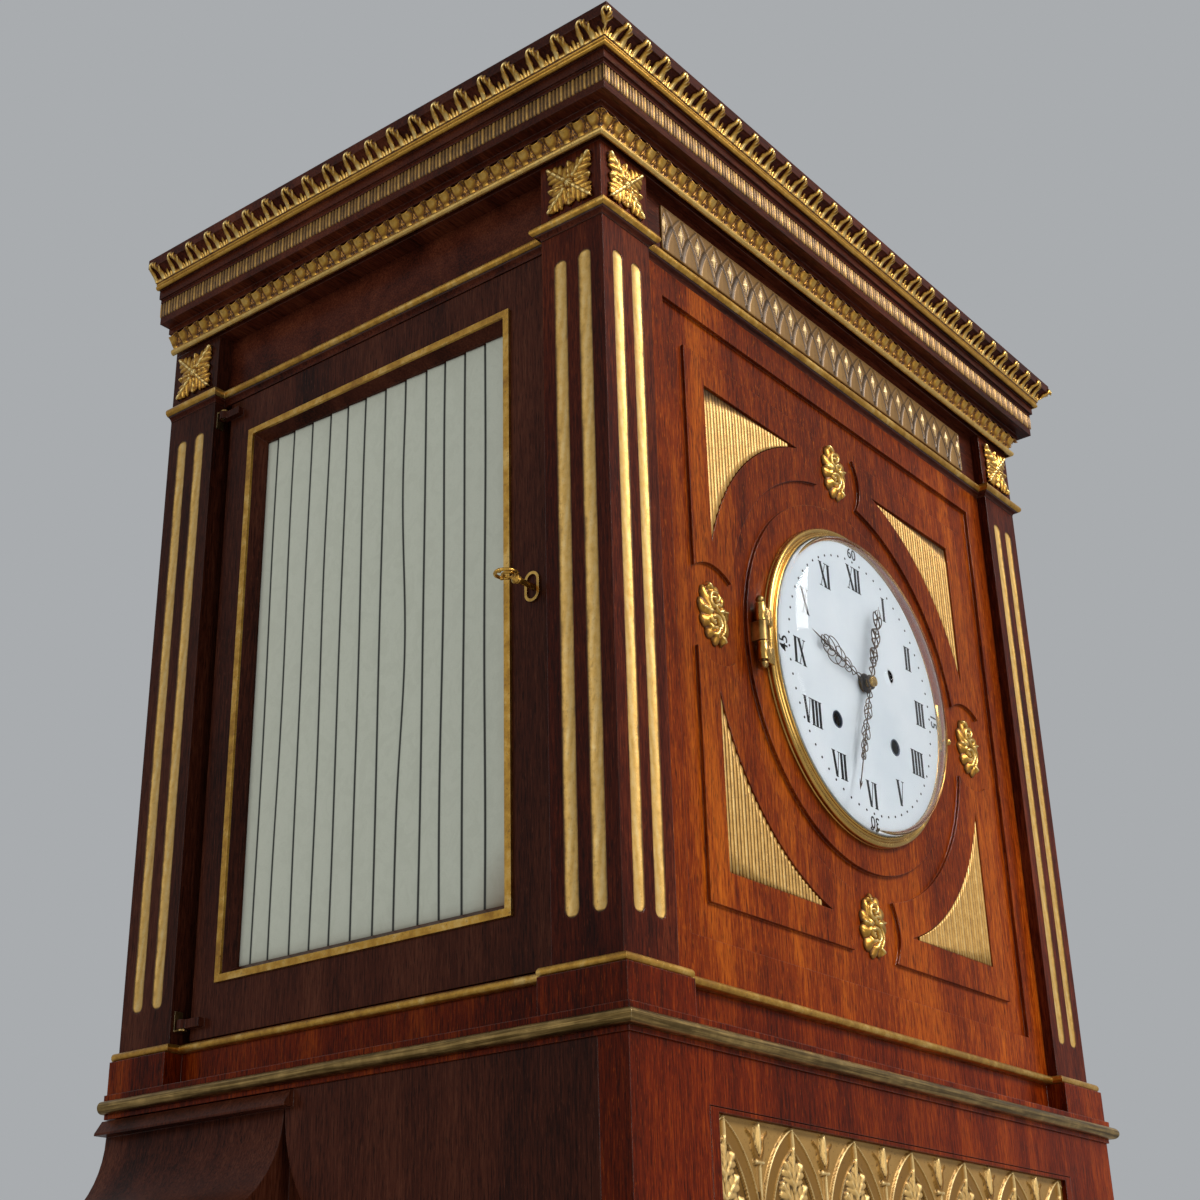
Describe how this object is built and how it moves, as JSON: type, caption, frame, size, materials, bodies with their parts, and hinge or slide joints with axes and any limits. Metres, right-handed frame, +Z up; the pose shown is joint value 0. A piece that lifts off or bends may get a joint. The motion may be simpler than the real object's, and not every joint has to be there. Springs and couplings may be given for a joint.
{
  "type": "longcase clock",
  "caption": "Tall wooden clock case with a square hood, hinged round glazed dial, silk-backed side doors, gilt mouldings, trunk door, and a weight-driven pendulum movement.",
  "frame": {"origin": "middle of the footprint, on the floor", "axes": "+Z up, the dial faces -Y, the key's door is on -X"},
  "size_m": [0.766, 0.48, 2.22],
  "materials": {
    "mahogany": "french polished, worn",
    "oak": "plain sawn",
    "gilt": "old gilding with dark recesses",
    "old_brass": "aged, olive",
    "brass": "polished",
    "enamel": "white enamel",
    "glass": "clear, domed",
    "steel": "filed and dulled",
    "bell_metal": "turned",
    "silk": "pleated silk",
    "gut": "gut line"
  },
  "bodies": {
    "case": {"back_board": "oak", "base": "mahogany", "bell": "bell_metal", "bezel_hinge": "brass", "cornice": "mahogany", "cresting": "gilt", "dial": "enamel", "egg_band": "gilt", "foliate_mounts": "gilt", "frieze_board": "mahogany", "frieze_relief": "gilt", "front_panel": "mahogany", "gilt_fillets": "gilt", "hood_base": "mahogany", "line_going": "gut", "line_strike": "gut", "pivot_brackets": "steel", "plate_back": "brass", "plate_front": "brass", "post_back_left": "mahogany", "post_back_right": "mahogany", "post_front_left": "mahogany", "post_front_right": "mahogany", "rosettes": "gilt", "seat_board": "oak", "torus": "old_brass", "trunk_frame": "mahogany", "trunk_hinges": "old_brass", "trunk_side_left": "mahogany", "trunk_side_right": "mahogany"},
    "trunk_door": {"trunk_door": "mahogany", "trunk_relief": "gilt"},
    "door_left": {"door_left_frame": "mahogany", "door_left_bead": "gilt", "door_left_silk": "silk", "door_left_escutcheon": "brass"},
    "door_right": {"door_right_frame": "mahogany", "door_right_bead": "gilt", "door_right_silk": "silk"},
    "lock_bolt": {"door_left_bolt": "steel"},
    "key": {"key": "steel"},
    "bezel": {"bezel": "brass", "bezel_glass": "glass"},
    "centre_arbor": {"centre_arbor": "brass", "minute_hand": "steel"},
    "hour_wheel": {"hour_wheel": "brass", "hour_hand": "steel"},
    "minute_wheel": {"minute_wheel": "brass"},
    "great_wheel": {"great_wheel": "brass"},
    "third_arbor": {"third_arbor": "brass"},
    "escape_arbor": {"escape_arbor": "brass"},
    "anchor": {"anchor": "steel"},
    "pendulum": {"pendulum_rod": "steel", "pendulum_bob": "brass"},
    "rating_nut": {"rating_nut": "brass"},
    "going_barrel": {"going_barrel": "brass"},
    "strike_barrel": {"strike_barrel": "brass"},
    "weight_going": {"weight_going": "brass"},
    "weight_strike": {"weight_strike": "brass"},
    "hammer": {"hammer": "steel"}
  },
  "joints": [
    {"name": "trunk_door_hinge", "type": "hinge", "parent": "case", "child": "trunk_door", "pos_m": [-0.233, -0.211, 0.93], "axis": [0, 0, -1], "range_deg": [0, 100]},
    {"name": "bezel_hinge", "type": "hinge", "parent": "case", "child": "bezel", "pos_m": [-0.131, -0.1975, 1.8325], "axis": [0, 0, -1], "range_deg": [0, 110]},
    {"name": "door_left_hinge", "type": "hinge", "parent": "case", "child": "door_left", "pos_m": [-0.2945, 0.181, 1.83], "axis": [0, 0, -1], "range_deg": [0, 95]},
    {"name": "door_right_hinge", "type": "hinge", "parent": "case", "child": "door_right", "pos_m": [0.2945, 0.181, 1.83], "axis": [0, 0, 1], "range_deg": [0, 95]},
    {"name": "key_turn", "type": "hinge", "parent": "door_left", "child": "key", "pos_m": [-0.3, -0.128, 1.832], "axis": [1, 0, 0], "range_deg": [0, 90]},
    {"name": "bolt_slide", "type": "slide", "parent": "door_left", "child": "lock_bolt", "axis": [0, -1, 0], "range_m": [0, 0.0055]},
    {"name": "centre_turn", "type": "hinge", "parent": "case", "child": "centre_arbor", "pos_m": [0, -0.1595, 1.8325], "axis": [0, 1, 0], "continuous": true},
    {"name": "hour_turn", "type": "hinge", "parent": "case", "child": "hour_wheel", "pos_m": [0, -0.1795, 1.8325], "axis": [0, 1, 0], "continuous": true},
    {"name": "minute_wheel_turn", "type": "hinge", "parent": "case", "child": "minute_wheel", "pos_m": [0.0144, -0.1745, 1.8133], "axis": [0, 1, 0], "continuous": true},
    {"name": "great_turn", "type": "hinge", "parent": "case", "child": "great_wheel", "pos_m": [-0.04, -0.1535, 1.7945], "axis": [0, 1, 0], "continuous": true},
    {"name": "third_turn", "type": "hinge", "parent": "case", "child": "third_arbor", "pos_m": [-0.014, -0.1295, 1.8635], "axis": [0, 1, 0], "continuous": true},
    {"name": "escape_turn", "type": "hinge", "parent": "case", "child": "escape_arbor", "pos_m": [0, -0.1195, 1.88781], "axis": [0, 1, 0], "continuous": true},
    {"name": "pendulum_swing", "type": "hinge", "parent": "case", "child": "pendulum", "pos_m": [0, -0.0595, 1.91381], "axis": [0, 1, 0], "range_deg": [-2.5, 2.5]},
    {"name": "anchor_rock", "type": "hinge", "parent": "case", "child": "anchor", "pos_m": [0, -0.0995, 1.91381], "axis": [0, 1, 0], "range_deg": [-2.5, 2.5]},
    {"name": "rating_nut_turn", "type": "hinge", "parent": "pendulum", "child": "rating_nut", "pos_m": [0, -0.0595, 0.8245], "axis": [0, 0, 1], "continuous": true},
    {"name": "weight_going_slide", "type": "slide", "parent": "case", "child": "weight_going", "axis": [0, 0, 1], "range_m": [0, 0.6], "deforming": ["line_going"]},
    {"name": "weight_strike_slide", "type": "slide", "parent": "case", "child": "weight_strike", "axis": [0, 0, 1], "range_m": [0, 0.6], "deforming": ["line_strike"]},
    {"name": "going_barrel_turn", "type": "hinge", "parent": "case", "child": "going_barrel", "pos_m": [-0.04, -0.1325, 1.7945], "axis": [0, 1, 0], "range_deg": [0, 1502.2]},
    {"name": "strike_barrel_turn", "type": "hinge", "parent": "case", "child": "strike_barrel", "pos_m": [0.04, -0.1325, 1.7945], "axis": [0, 1, 0], "range_deg": [-1502.2, 0]},
    {"name": "hammer_swing", "type": "hinge", "parent": "case", "child": "hammer", "pos_m": [0.07, -0.1295, 1.8725], "axis": [0, 1, 0], "range_deg": [0, 20], "stiffness_Nm_per_rad": 0.05, "springref_deg": -28.65}
  ],
  "couplings": [
    {"joint": "hour_turn", "follows": "centre_turn", "ratio": 0.083333},
    {"joint": "minute_wheel_turn", "follows": "centre_turn", "ratio": -0.66667},
    {"joint": "great_turn", "follows": "centre_turn", "ratio": -0.083333},
    {"joint": "third_turn", "follows": "centre_turn", "ratio": -8},
    {"joint": "escape_turn", "follows": "centre_turn", "ratio": 60},
    {"joint": "anchor_rock", "follows": "pendulum_swing", "ratio": 1},
    {"joint": "key_turn", "follows": "bolt_slide", "rad_per_m": 285.6},
    {"joint": "going_barrel_turn", "follows": "weight_going_slide", "rad_per_m": 43.668},
    {"joint": "strike_barrel_turn", "follows": "weight_strike_slide", "rad_per_m": -43.668}
  ]
}
